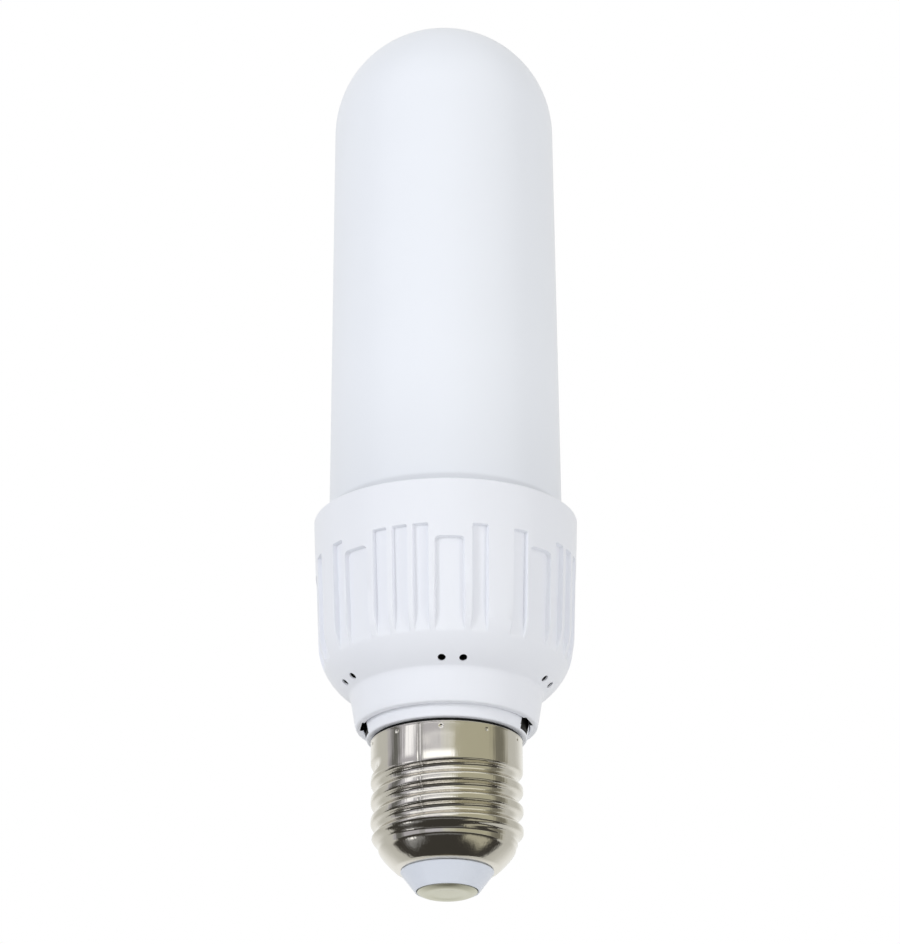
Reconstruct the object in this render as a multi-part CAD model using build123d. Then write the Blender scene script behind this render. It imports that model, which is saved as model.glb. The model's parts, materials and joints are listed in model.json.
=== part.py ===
from build123d import *
import math
import os

# Cylindrical LED lamp with an E27 screw cap, standing upright on its end contact.
# Millimetres and degrees. The origin is the centre of the end contact's flat face,
# +Z runs along the lamp's axis to the dome, and -Y is the front, where a pair of
# vents shows. Azimuths are counted from +X, counter-clockwise seen from the dome.

# Screw cap: one drawn sheet with a rolled thread
cap_r = 13.2
cap_sheet = 0.3
cap_lip_z = 4.2
cap_lip_r = 8.1
cap_mouth_r = 7.6
cap_length = 23.05
shoulder_height = 6.1
shoulder_bulge = 0.35
thread_pitch = 3.629
thread_root_r = 12.1
thread_land_rise = 0.06
thread_below_top = 5.3
thread_above_lip = 2.7
thread_end_azimuth = 180.0
groove_edge_share = 0.8
crimp_count = 10
crimp_below_top = 1.0
crimp_ball_r = 0.6
crimp_depth = 0.15
crimp_azimuth = -58.2

# End contact and its insulator
contact_flat_r = 4.0
contact_r = 5.2
contact_edge_z = 0.5
contact_edge_bulge_z = 0.175
contact_back_z = 1.1
eyelet_r = 1.5
eyelet_bore_r = 0.85
eyelet_above_insulator = 0.5
insulator_foot_z = 0.6
insulator_foot_r = 5.65
insulator_edge_height = 0.25
insulator_above_lip = 2.2

# Ring that joins the cap to the housing
ring_above_cap = 0.5
ring_ledge = 0.73
ring_flare = 0.37
ring_neck_wall = 1.2
ring_height = 6.75
rail_depth = 2.0
rail_thickness = 1.0

# Two slots where the ring meets the housing's rim
slot_width = 4.5
slot_height = 3.0
slot_above_ring_foot = 1.0
slot_depth_in_ring = 0.6
slot_depth_in_rim = 0.45
slot_azimuths = (-16.0, -174.0)

# Housing shell
rim_above_ring_foot = 2.05
rim_wall = 1.35
rim_edge_radius = 0.35
crease_step = 0.95
crease_radius = 0.4
bowl_radius = 12.0
wall_foot_above_rim = 15.8
wall_height = 22.2
wall_taper = 0.7
wall_edge_radius = 0.35
housing_wall = 2.4
mouth_wall = 2.45
ring_seat_width = 0.9
plate_seat_below_top = 6.8

# Recessed panels round the housing: azimuth of the centre and width, per quarter
quarter_count = 4
narrow_panels = ((-74.7, 7.0), (-55.3, 7.0), (-30.0, 6.6), (-20.5, 6.6), (-11.0, 6.6))
wide_panels = ((-88.3, 12.6), (-43.5, 12.6))
narrow_top_below_rim = 8.2
wide_top_below_rim = 10.6
panel_corner_radius = 0.9
panel_depth_at_top = 0.8
panel_floor_inset = 1.2
panel_floor_above_rim = 11.2

# Vent holes, drilled square to the bowl
vent_pairs = 5
vent_r = 0.7
vent_bowl_angle = 50.0
vent_azimuths = (-92.5, -80.8)

# Diffuser
diffuser_wall = 1.3
diffuser_foot_r = 20.5
diffuser_taper = 0.9
dome_centre_above_foot = 79.8
snap_rib_height = 0.3
snap_rib_width = 1.2
snap_rib_above_foot = 1.6

# LED plate, column and boards
plate_thickness = 1.5
column_flats = 17.0
column_wall = 1.5
column_length = 76.5
column_sides = 6
port_r = 1.9
port_inset = 2.3
strip_width = 8.6
strip_thickness = 1.0
strip_foot_gap = 1.0
strip_top_gap = 1.5
strip_led_count = 9
strip_led_pitch = 7.6
led_length = 3.5
led_width = 2.8
led_height = 0.5
led_lens_inset = 0.35
led_lens_height = 0.2
top_board_r = 9.2
top_board_thickness = 1.0
top_led_circle_r = 6.0
top_led_count = 4
top_led_azimuth = 75.0

# Screws
screw_shank_r = 1.1
screw_head_r = 2.0
screw_head_height = 1.3
screw_head_edge = 0.4
screw_grip = 5.0
drive_width = 0.4
drive_depth = 0.4
boss_r = 2.3
boss_length = 10.0
boss_root_depth = 0.6
boss_azimuths = (90.0, 210.0, 330.0)
port_azimuths = (30.0, 150.0, 270.0)
top_screw_azimuths = (30.0, 210.0)

# Driver board
board_thickness = 1.2
board_foot_above_lip = 8.8
board_top_below_plate = 3.0
board_side_gap = 0.3
board_wall_gap = 2.8
board_seat_width = 1.4
board_shoulder_height = 1.6
board_wide_above_shoulder = 10.5
component_gap = 0.1

# Electrolytic cans and their bent legs
input_can_r = 4.0
input_can_length = 11.0
input_can_above_board_foot = 7.0
output_can_r = 4.0
output_can_length = 14.0
output_can_above_shoulder = 7.5
output_can_x = 8.5
can_leg_r = 0.3
can_leg_drop = 1.6
can_leg_root = 0.2
can_edge = 0.5
can_groove = 0.4
can_groove_above_foot = 1.5

# Film capacitor and drum-core inductor
film_width = 10.0
film_height = 9.0
film_depth = 5.5
film_edge_radius = 0.6
film_above_board_foot = 8.0
drum_r = 3.0
drum_waist_r = 2.4
drum_flange = 1.0
drum_waist_length = 7.0
drum_above_shoulder = 8.0
drum_x = -10.5

# Transformer: a square core of two windows round a wound bobbin
transformer_above_shoulder = 7.5
transformer_height = 13.0
transformer_width = 14.0
transformer_leg = 3.0
transformer_core_gap = 3.0
transformer_core_depth = 6.5
transformer_winding_depth = 11.5
winding_corner_radius = 1.2

# Rectifier, control chip and fuse resistor
rectifier_width = 4.8
rectifier_height = 4.0
rectifier_depth = 2.4
rectifier_above_shoulder = 2.2
chip_width = 4.0
chip_height = 5.0
chip_depth = 1.6
chip_x = -0.5
chip_above_transformer_foot = 4.0
chip_pin_count = 4
chip_pin_pitch = 1.2
chip_pin_reach = 0.9
chip_pin_width = 0.4
chip_pin_depth = 0.5
fuse_r = 1.6
fuse_length = 8.0
fuse_edge = 0.5
fuse_x = 7.0
fuse_below_shoulder = 2.0

# Leads
lead_r = 0.6
live_pad_x = 6.5
live_solder_depth = 1.5
live_rise = 3.0
live_bend_below_board = 1.5
live_on_board = 5.0
live_bend_radius = 2.6
neutral_pad_x = -6.0
neutral_on_board = 6.0
neutral_azimuth = 225.0
neutral_bend_radius = 2.4
led_lead_beside_strip = 3.0
led_lead_above_strip_foot = 2.5
led_lead_on_board = 4.5
led_lead_bend_radius = 1.3

# Clearances between pieces that are put together
fit_gap = 0.1
slide_gap = 0.15
shank_gap = 0.05

# Heights that follow
cap_top_z = cap_lip_z + cap_length
insulator_top_z = cap_lip_z + insulator_above_lip
ring_foot_z = cap_top_z + ring_above_cap
ring_top_z = ring_foot_z + ring_height
ring_neck_foot_z = cap_top_z - thread_below_top + thread_pitch / 2 + fit_gap
slot_foot_z = ring_foot_z + slot_above_ring_foot
rim_z = ring_foot_z + rim_above_ring_foot
wall_foot_z = rim_z + wall_foot_above_rim
wall_top_z = wall_foot_z + wall_height
panel_floor_foot_z = rim_z + panel_floor_above_rim
plate_z = wall_top_z - plate_seat_below_top
plate_top_z = plate_z + plate_thickness
diffuser_foot_z = plate_top_z
dome_centre_z = diffuser_foot_z + dome_centre_above_foot
column_top_z = plate_top_z + column_length
strip_foot_z = plate_top_z + strip_foot_gap
strip_top_z = column_top_z - strip_top_gap
board_foot_z = cap_lip_z + board_foot_above_lip
board_shoulder_z = ring_top_z
board_wide_z = board_shoulder_z + board_wide_above_shoulder
board_top_z = plate_z - board_top_below_plate
transformer_foot_z = board_shoulder_z + transformer_above_shoulder

# Radii and widths that follow
neck_r = cap_r - cap_sheet - fit_gap
ring_bore_r = neck_r - ring_neck_wall
ring_foot_r = cap_r + ring_ledge
ring_rim_r = ring_foot_r + ring_flare
rim_bore_r = ring_rim_r + slide_gap
rim_r = rim_bore_r + rim_wall
crease_r = rim_r + crease_step
housing_bore_r = diffuser_foot_r + slide_gap
wall_top_r = housing_bore_r + mouth_wall
wall_foot_r = wall_top_r - wall_taper
dome_radius = diffuser_foot_r - diffuser_taper
wall_lean = math.atan2(wall_taper, wall_height)
bowl_centre = (
    wall_foot_r - bowl_radius * math.cos(wall_lean),
    wall_foot_z + bowl_radius * math.sin(wall_lean),
)
housing_inner_r = bowl_centre[0] + bowl_radius - housing_wall
panel_floor_foot_r = wall_foot_r - panel_floor_inset
boss_centre_r = diffuser_foot_r - diffuser_wall - screw_head_r - slide_gap
port_centre_r = column_flats / 2 - port_inset
strip_face_r = column_flats / 2 + strip_thickness
shank_bore_r = screw_shank_r + shank_gap
board_face = board_thickness / 2
board_half_width = min(ring_bore_r, thread_root_r - cap_sheet) - board_side_gap
board_shoulder_half_width = ring_bore_r + board_seat_width
board_wide_half_width = housing_inner_r - board_wall_gap
wire_y = -board_face - lead_r - fit_gap / 2


def turned(sketch):
    return revolve(Plane.XZ * sketch, Axis.Z)


def polar(radius, azimuth, z=0.0):
    angle = math.radians(azimuth)
    return Vector(radius * math.cos(angle), radius * math.sin(angle), z)


def upright_cylinder(radius, foot, top, centre=(0.0, 0.0)):
    column = Cylinder(radius, top - foot, align=(Align.CENTER, Align.CENTER, Align.MIN))
    return Pos(centre[0], centre[1], foot) * column


def block(low, high):
    size = [top - foot for foot, top in zip(low, high)]
    return Pos(*low) * Box(*size, align=(Align.MIN, Align.MIN, Align.MIN))


def rounded(sketch, point, radius):
    corner = sketch.vertices().sort_by_distance(Vector(*point))[0]
    return fillet(corner, radius)


def circle_height(radius, across):
    return math.sqrt(radius**2 - across**2)


def wire_solid(points, corner_radius, radius):
    path = FilletPolyline(*points, radius=corner_radius)
    section = Plane(origin=path @ 0, z_dir=path % 0) * Circle(radius)
    return sweep(section, path=path)


# The cap's shoulder is an arc from the lip to the thread's outside, bulging outwards.
def shoulder_arc(inset):
    run = cap_r - cap_lip_r
    chord = math.hypot(run, shoulder_height)
    radius = (chord**2 / 4 + shoulder_bulge**2) / (2 * shoulder_bulge)
    normal = (shoulder_height / chord, -run / chord)
    middle = (cap_lip_r + run / 2, cap_lip_z + shoulder_height / 2)
    back = radius - shoulder_bulge
    centre = (middle[0] - normal[0] * back, middle[1] - normal[1] * back)
    return centre, radius - inset


def shoulder_r(z, inset=0.0):
    centre, radius = shoulder_arc(inset)
    return centre[0] + circle_height(radius, z - centre[1])


def shoulder_z(r, inset=0.0):
    centre, radius = shoulder_arc(inset)
    return centre[1] - circle_height(radius, r - centre[0])


# Section of the groove between two turns of the thread, on the +X side at height 0:
# a hollow root arc that runs into the rounded crest on each side.
def groove_section(inset):
    half_pitch = thread_pitch / 2
    crest_r = cap_r + thread_land_rise
    height = crest_r - thread_root_r
    wave_radius = (half_pitch**2 + height**2) / (4 * height)
    root_centre = thread_root_r + wave_radius
    crest_centre = crest_r - wave_radius
    root_radius = wave_radius + inset
    crest_radius = wave_radius - inset
    lean = math.asin(half_pitch / (2 * wave_radius))
    flank = (root_centre - root_radius * math.cos(lean), root_radius * math.sin(lean))
    edge_z = groove_edge_share * half_pitch
    arc_end = math.asin((half_pitch - edge_z) / crest_radius)
    end = (crest_centre + crest_radius * math.cos(arc_end), edge_z)
    turn = (lean + arc_end) / 2
    middle = (
        crest_centre + crest_radius * math.cos(turn),
        half_pitch - crest_radius * math.sin(turn),
    )
    outside = cap_r + height
    edges = [
        ThreePointArc(
            (flank[0], -flank[1]), (root_centre - root_radius, 0), (flank[0], flank[1])
        ),
        ThreePointArc((flank[0], flank[1]), middle, end),
        Polyline(end, (outside, end[1]), (outside, -end[1]), (end[0], -end[1])),
        ThreePointArc((end[0], -end[1]), (middle[0], -middle[1]), (flank[0], -flank[1])),
    ]
    return Plane.XZ * make_face(edges)


# The groove climbs right-handed and leaves the cap along its tangent.
def thread_groove(inset):
    start_z = cap_lip_z + thread_above_lip
    end_z = cap_top_z - thread_below_top
    climb = end_z - start_z
    end_turn = 360 * climb / thread_pitch
    start_azimuth = thread_end_azimuth - end_turn
    section = groove_section(inset)
    helix = Helix(thread_pitch, climb, cap_r)
    groove = sweep(section, path=helix, is_frenet=True)
    leaving = polar(1, end_turn + 90) + Vector(0, 0, thread_pitch / (2 * math.pi * cap_r))
    exit_face = Pos(0, 0, climb) * Rot(0, 0, end_turn) * section
    run_out = extrude(exit_face, amount=cap_r / 2, dir=leaving)
    place = Pos(0, 0, start_z) * Rot(0, 0, start_azimuth)
    return place * groove, place * run_out


# Outside of the cap, or its inside when inset by the sheet's thickness
def cap_form(inset):
    top = cap_top_z + inset
    outer = cap_r - inset
    foot = (cap_lip_r, cap_lip_z)
    if inset:
        foot = (shoulder_r(cap_lip_z + inset, inset), cap_lip_z + inset)
    knee = (outer, shoulder_z(outer, inset))
    middle_z = (foot[1] + knee[1]) / 2
    middle = (shoulder_r(middle_z, inset), middle_z)
    edges = [
        Polyline((0, top), (0, foot[1]), foot),
        ThreePointArc(foot, middle, knee),
        Polyline(knee, (outer, top), (0, top)),
    ]
    form = turned(make_face(edges))
    for cutter in thread_groove(inset):
        form -= cutter
    return form


# Balls that pinch the cap's skirt; the sheet's inside and the ring's neck take larger ones
def crimp_balls(radius):
    ball_centre = cap_r + crimp_ball_r - crimp_depth
    height = cap_top_z - crimp_below_top
    ball = Sphere(radius)
    balls = []
    for step in range(crimp_count):
        azimuth = crimp_azimuth + step * 360 / crimp_count
        balls.append(Pos(polar(ball_centre, azimuth, height)) * ball)
    return balls


def screw_cap():
    cap = cap_form(0.0)
    hollow = cap_form(cap_sheet) + upright_cylinder(
        cap_mouth_r, cap_lip_z - cap_sheet, cap_lip_z + 2 * cap_sheet
    )
    for pinch in crimp_balls(crimp_ball_r + cap_sheet):
        hollow -= pinch
    cap -= hollow
    for pinch in crimp_balls(crimp_ball_r):
        cap -= pinch
    return cap


def end_contact():
    bulge = ((contact_flat_r + contact_r) / 2, contact_edge_bulge_z)
    eyelet_top = insulator_top_z + eyelet_above_insulator
    edges = [
        Line((0, 0), (contact_flat_r, 0)),
        ThreePointArc((contact_flat_r, 0), bulge, (contact_r, contact_edge_z)),
        Polyline(
            (contact_r, contact_edge_z),
            (contact_r, contact_back_z),
            (eyelet_r, contact_back_z),
            (eyelet_r, eyelet_top),
            (eyelet_bore_r, eyelet_top),
            (eyelet_bore_r, contact_back_z),
            (0, contact_back_z),
            (0, 0),
        ),
    ]
    return turned(make_face(edges))


def cap_insulator():
    bore = eyelet_r + fit_gap
    recess = contact_r + fit_gap
    neck = cap_mouth_r - fit_gap
    flange_z = cap_lip_z + cap_sheet + fit_gap
    flange_foot_r = shoulder_r(flange_z, cap_sheet + 2 * fit_gap)
    flange_top_r = shoulder_r(insulator_top_z, cap_sheet + 2 * fit_gap)
    section = Polyline(
        (bore, contact_back_z),
        (recess, contact_back_z),
        (recess, insulator_foot_z),
        (insulator_foot_r, insulator_foot_z),
        (cap_lip_r, cap_lip_z - insulator_edge_height),
        (cap_lip_r, cap_lip_z),
        (neck, cap_lip_z),
        (neck, flange_z),
        (flange_foot_r, flange_z),
        (flange_top_r, insulator_top_z),
        (bore, insulator_top_z),
        close=True,
    )
    return turned(make_face(section))


# Slots cut from depth below the ring's face, or out to a height above it in the rim
def slot_cutters(inner_r, outer_r):
    slot = block(
        (inner_r, -slot_width / 2, slot_foot_z),
        (outer_r, slot_width / 2, slot_foot_z + slot_height),
    )
    return [Rot(0, 0, azimuth) * slot for azimuth in slot_azimuths]


# The ring's neck is pinched inside the cap; its spigot seats in the housing's rim.
def joining_ring():
    section = Polyline(
        (ring_bore_r, ring_neck_foot_z),
        (neck_r, ring_neck_foot_z),
        (neck_r, ring_foot_z),
        (ring_foot_r, ring_foot_z),
        (ring_rim_r, rim_z),
        (ring_rim_r, ring_top_z),
        (ring_bore_r, ring_top_z),
        close=True,
    )
    ring = turned(make_face(section))
    for side in (-1, 1):
        for face in (-1, 1):
            near = board_face + fit_gap
            far = near + rail_thickness
            y_low, y_high = sorted((face * near, face * far))
            x_low, x_high = sorted(
                (side * (ring_bore_r + fit_gap), side * (ring_bore_r - rail_depth))
            )
            ring += block((x_low, y_low, ring_neck_foot_z), (x_high, y_high, ring_top_z))
    for slot in slot_cutters(ring_rim_r - slot_depth_in_ring, rim_r):
        ring -= slot
    for pinch in crimp_balls(crimp_ball_r + cap_sheet + fit_gap):
        ring -= pinch
    return ring


def bowl_point(radius, inset=0.0):
    arc_radius = bowl_radius - inset
    return (radius, bowl_centre[1] - circle_height(arc_radius, radius - bowl_centre[0]))


def panel_outline(width_angle, top, corner_radius):
    width = 2 * wall_top_r * math.sin(math.radians(width_angle / 2))
    foot = bowl_centre[1] - bowl_radius
    outline = Pos(0, (top + foot) / 2) * Rectangle(width, top - foot)
    if corner_radius:
        outline = fillet(outline.vertices().group_by(Axis.Y)[-1], corner_radius)
    return outline


def panel_recesses():
    panels = []
    narrow_top = wall_top_z - narrow_top_below_rim
    wide_top = wall_top_z - wide_top_below_rim
    for centre, width in narrow_panels:
        panels.append((centre, panel_outline(width, narrow_top, 0.0)))
    for centre, width in wide_panels:
        panels.append((centre, panel_outline(width, wide_top, panel_corner_radius)))
    floor_top_r = wall_foot_r + (narrow_top - wall_foot_z) * math.tan(wall_lean)
    floor = Polyline(
        (0, panel_floor_foot_z),
        (panel_floor_foot_r, panel_floor_foot_z),
        (floor_top_r - panel_depth_at_top, narrow_top + 1),
        (0, narrow_top + 1),
        close=True,
    )
    below = upright_cylinder(panel_floor_foot_r, rim_z, panel_floor_foot_z)
    core = turned(make_face(floor)) + below
    recesses = []
    for quarter in range(quarter_count):
        for centre, outline in panels:
            azimuth = centre + quarter * 360 / quarter_count
            outward = polar(1, azimuth)
            sideways = polar(1, azimuth + 90)
            face = Plane(origin=outward * bowl_centre[0], x_dir=sideways, z_dir=outward)
            prism = extrude(face * outline, amount=wall_top_r)
            recesses.append(prism - core)
    return recesses


def vent_holes():
    drop = -bowl_radius * math.sin(math.radians(vent_bowl_angle))
    across = bowl_radius * math.cos(math.radians(vent_bowl_angle))
    holes = []
    for pair in range(vent_pairs):
        for azimuth in vent_azimuths:
            turn = azimuth + pair * 360 / vent_pairs
            start = polar(bowl_centre[0], turn, bowl_centre[1])
            outward = polar(across, turn, drop)
            hole = Cylinder(vent_r, 3 * housing_wall)
            place = Plane(origin=start + outward, z_dir=outward)
            holes.append(place * hole)
    return holes


def housing():
    crease = bowl_point(crease_r)
    mid_lean = (wall_lean + math.acos((crease_r - bowl_centre[0]) / bowl_radius)) / 2
    middle = (
        bowl_centre[0] + bowl_radius * math.cos(mid_lean),
        bowl_centre[1] - bowl_radius * math.sin(mid_lean),
    )
    outside = make_face(
        [
            Polyline((0, wall_top_z), (0, rim_z), (rim_r, rim_z), crease),
            ThreePointArc(crease, middle, (wall_foot_r, wall_foot_z)),
            Polyline((wall_foot_r, wall_foot_z), (wall_top_r, wall_top_z), (0, wall_top_z)),
        ]
    )
    outside = rounded(outside, crease, crease_radius)
    outside = rounded(outside, (rim_r, rim_z), rim_edge_radius)
    outside = rounded(outside, (wall_top_r, wall_top_z), wall_edge_radius)

    seat_bore = rim_bore_r - ring_seat_width
    inner_crease = bowl_point(seat_bore, housing_wall)
    half = math.acos((seat_bore - bowl_centre[0]) / (bowl_radius - housing_wall)) / 2
    inner_middle = (
        bowl_centre[0] + (bowl_radius - housing_wall) * math.cos(half),
        bowl_centre[1] - (bowl_radius - housing_wall) * math.sin(half),
    )
    inside = make_face(
        [
            Polyline(
                (0, rim_z - 1),
                (rim_bore_r, rim_z - 1),
                (rim_bore_r, ring_top_z),
                (seat_bore, ring_top_z),
                inner_crease,
            ),
            ThreePointArc(inner_crease, inner_middle, (housing_inner_r, bowl_centre[1])),
            Polyline(
                (housing_inner_r, bowl_centre[1]),
                (housing_inner_r, plate_z),
                (housing_bore_r, plate_z),
                (housing_bore_r, wall_top_z + 1),
                (0, wall_top_z + 1),
                (0, rim_z - 1),
            ),
        ]
    )
    shell = turned(outside) - turned(inside)

    groove_z = diffuser_foot_z + snap_rib_above_foot
    shell -= upright_cylinder(
        housing_bore_r + snap_rib_height,
        groove_z - slide_gap,
        groove_z + snap_rib_width + slide_gap,
    )
    for azimuth in boss_azimuths:
        centre = polar(boss_centre_r, azimuth)
        boss = upright_cylinder(boss_r, plate_z - boss_length, plate_z, (centre.X, centre.Y))
        web = block(
            (boss_centre_r, -boss_r, plate_z - boss_length),
            (housing_inner_r + boss_root_depth, boss_r, plate_z),
        )
        boss += Rot(0, 0, azimuth) * web
        bore = upright_cylinder(
            shank_bore_r, plate_z - screw_grip - 1, plate_z, (centre.X, centre.Y)
        )
        shell += boss
        shell -= bore
    for cutter in panel_recesses() + vent_holes():
        shell -= cutter
    for slot in slot_cutters(ring_bore_r, rim_bore_r + slot_depth_in_rim):
        shell -= slot
    return shell


def diffuser_form(inset, foot):
    lean = math.atan2(diffuser_foot_r - dome_radius, dome_centre_z - diffuser_foot_z)
    outer = dome_radius - inset
    foot_r = diffuser_foot_r - inset
    tangent = (outer * math.cos(lean), dome_centre_z + outer * math.sin(lean))
    half = (lean + math.pi / 2) / 2
    middle = (outer * math.cos(half), dome_centre_z + outer * math.sin(half))
    top = (0, dome_centre_z + outer)
    edges = [
        Polyline(top, (0, foot), (foot_r, foot), tangent),
        ThreePointArc(tangent, middle, top),
    ]
    return turned(make_face(edges))


def diffuser():
    shell = diffuser_form(0.0, diffuser_foot_z)
    rib_z = diffuser_foot_z + snap_rib_above_foot
    rib_r = diffuser_foot_r + snap_rib_height
    rib = Polyline(
        (dome_radius, rib_z),
        (rib_r, rib_z),
        (rib_r, rib_z + snap_rib_width / 2),
        (dome_radius, rib_z + snap_rib_width),
        close=True,
    )
    shell += turned(make_face(rib))
    shell -= diffuser_form(diffuser_wall, diffuser_foot_z - 1)
    shell -= upright_cylinder(
        diffuser_foot_r - diffuser_wall, diffuser_foot_z - 1, diffuser_foot_z
    )
    return shell


def led_plate():
    plate = upright_cylinder(diffuser_foot_r, plate_z, plate_top_z)
    holes = [polar(boss_centre_r, azimuth) for azimuth in boss_azimuths]
    holes += [polar(port_centre_r, azimuth) for azimuth in port_azimuths]
    for centre in holes:
        plate -= upright_cylinder(
            screw_shank_r + slide_gap, plate_z, plate_top_z, (centre.X, centre.Y)
        )
    for side in (-1, 1):
        plate -= upright_cylinder(
            lead_r + 2 * fit_gap, plate_z, plate_top_z, led_lead_place(side)
        )
    return plate


def led_column():
    outline = RegularPolygon(column_flats / 2, column_sides, major_radius=False, rotation=30)
    bore = offset(outline, -column_wall)
    column = extrude(outline - bore, amount=column_length)
    column = Pos(0, 0, plate_top_z) * column
    for azimuth in dict.fromkeys(port_azimuths + top_screw_azimuths):
        centre = polar(port_centre_r, azimuth)
        place = (centre.X, centre.Y)
        column += upright_cylinder(port_r, plate_top_z, column_top_z, place)
        column -= upright_cylinder(shank_bore_r, plate_top_z, column_top_z, place)
    return column


def strip_angle(index):
    return index * 360 / column_sides


def led_strip(index):
    strip = block(
        (column_flats / 2, -strip_width / 2, strip_foot_z),
        (strip_face_r, strip_width / 2, strip_top_z),
    )
    return Rot(0, 0, strip_angle(index)) * strip


# One LED package lying on a board whose face is at z = 0
def led_package():
    base = extrude(Rectangle(led_width, led_length), amount=led_height)
    inset = 2 * led_lens_inset
    lens = extrude(Rectangle(led_width - inset, led_length - inset), amount=led_lens_height)
    return base + Pos(0, 0, led_height) * lens


def strip_leds():
    middle_z = (strip_foot_z + strip_top_z) / 2
    first = middle_z - strip_led_pitch * (strip_led_count - 1) / 2
    package = led_package()
    leds = []
    for index in range(column_sides):
        outward = polar(1, strip_angle(index))
        sideways = polar(1, strip_angle(index) + 90)
        for step in range(strip_led_count):
            origin = outward * strip_face_r + Vector(0, 0, first + step * strip_led_pitch)
            leds.append(Plane(origin=origin, x_dir=sideways, z_dir=outward) * package)
    return Compound(children=leds)


def top_board():
    face_z = column_top_z + top_board_thickness
    board = upright_cylinder(top_board_r, column_top_z, face_z)
    for azimuth in top_screw_azimuths:
        centre = polar(port_centre_r, azimuth)
        place = (centre.X, centre.Y)
        board -= upright_cylinder(screw_shank_r + slide_gap, column_top_z, face_z, place)
    return board


def top_leds():
    package = led_package()
    face_z = column_top_z + top_board_thickness
    leds = [Pos(0, 0, face_z) * package]
    for step in range(top_led_count):
        azimuth = top_led_azimuth + step * 360 / top_led_count
        leds.append(Pos(polar(top_led_circle_r, azimuth, face_z)) * package)
    return Compound(children=leds)


# A pan-head screw with its seat at z = 0 and its shank along +Z
def screw(shank_length):
    shank = upright_cylinder(screw_shank_r, -screw_head_height / 2, shank_length)
    head = upright_cylinder(screw_head_r, -screw_head_height, 0)
    head = chamfer(head.edges().sort_by(Axis.Z)[0], screw_head_edge)
    drive = Box(screw_head_r, drive_width, 2 * drive_depth)
    cross = drive + Rot(0, 0, 90) * drive
    return head + shank - Pos(0, 0, -screw_head_height) * cross


def plate_screws():
    hanging = Pos(0, 0, plate_top_z) * Rot(180, 0, 0) * screw(plate_thickness + screw_grip)
    places = [polar(boss_centre_r, azimuth) for azimuth in boss_azimuths]
    return Compound(children=[Pos(place) * hanging for place in places])


def column_screws():
    standing = Pos(0, 0, plate_z) * screw(plate_thickness + screw_grip)
    places = [polar(port_centre_r, azimuth) for azimuth in port_azimuths]
    return Compound(children=[Pos(place) * standing for place in places])


def top_screws():
    seat = column_top_z + top_board_thickness
    hanging = Pos(0, 0, seat) * Rot(180, 0, 0) * screw(top_board_thickness + screw_grip)
    places = [polar(port_centre_r, azimuth) for azimuth in top_screw_azimuths]
    return Compound(children=[Pos(place) * hanging for place in places])


def driver_board():
    right = [
        (board_half_width, board_foot_z),
        (board_half_width, board_shoulder_z),
        (board_shoulder_half_width, board_shoulder_z),
        (board_shoulder_half_width, board_shoulder_z + board_shoulder_height),
        (board_wide_half_width, board_wide_z),
        (board_wide_half_width, board_top_z),
    ]
    left = [(-x, z) for x, z in reversed(right)]
    outline = make_face(Polyline(*right, *left, close=True))
    return extrude(Plane.XZ * outline, amount=board_face, both=True)


# Electrolytic can lying against the board, its legs bent over to the board
def can_capacitor(radius, foot, length, x, side):
    centre_y = side * (board_face + component_gap + radius)
    section = Polyline(
        (0, 0),
        (radius - can_edge, 0),
        (radius, can_edge),
        (radius, can_groove_above_foot - can_groove),
        (radius - can_groove, can_groove_above_foot),
        (radius, can_groove_above_foot + can_groove),
        (radius, length - can_edge),
        (radius - can_edge, length),
        (0, length),
        close=True,
    )
    can = Pos(x, centre_y, foot) * turned(make_face(section))
    leg_z = foot - can_leg_drop
    reach = abs(centre_y) - board_face
    for leg_x in (x - radius / 3, x + radius / 3):
        place = (leg_x, centre_y)
        can += upright_cylinder(can_leg_r, leg_z, foot + can_leg_root, place)
        bend = Plane(origin=(leg_x, centre_y, leg_z + can_leg_r), z_dir=(0, -side, 0))
        can += extrude(bend * Circle(can_leg_r), amount=reach)
    return can


def input_capacitor():
    foot = board_foot_z + input_can_above_board_foot
    return can_capacitor(input_can_r, foot, input_can_length, 0.0, -1)


def output_capacitor():
    foot = board_shoulder_z + output_can_above_shoulder
    return can_capacitor(output_can_r, foot, output_can_length, output_can_x, 1)


# A plain block lying on the board's face, given by its middle, its foot and its size
def on_board(x, foot, width, height, depth):
    return block(
        (x - width / 2, board_face, foot),
        (x + width / 2, board_face + depth, foot + height),
    )


def film_capacitor():
    foot = board_foot_z + film_above_board_foot
    body = on_board(0.0, foot, film_width, film_height, film_depth)
    return fillet(body.edges().filter_by(Axis.Y), film_edge_radius)


def filter_inductor():
    foot = board_shoulder_z + drum_above_shoulder
    place = (drum_x, board_face + component_gap + drum_r)
    waist_foot = foot + drum_flange
    waist_top = waist_foot + drum_waist_length
    drum = upright_cylinder(drum_r, foot, waist_foot, place)
    drum += upright_cylinder(drum_waist_r, waist_foot, waist_top, place)
    drum += upright_cylinder(drum_r, waist_top, waist_top + drum_flange, place)
    return drum


# A block behind the board, between two depths, two heights and out to half its width
def behind_board(half_width, near, far, low_z, high_z):
    return block(
        (-half_width, -board_face - far, low_z),
        (half_width, -board_face - near, high_z),
    )


def transformer_core():
    top = transformer_foot_z + transformer_height
    half = transformer_width / 2
    near = transformer_core_gap
    far = transformer_core_gap + transformer_core_depth
    core = behind_board(half, near, far, transformer_foot_z, top)
    core -= behind_board(
        half - transformer_leg,
        near,
        far,
        transformer_foot_z + transformer_leg,
        top - transformer_leg,
    )
    core += behind_board(transformer_leg / 2, near, far, transformer_foot_z, top)
    return core


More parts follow.
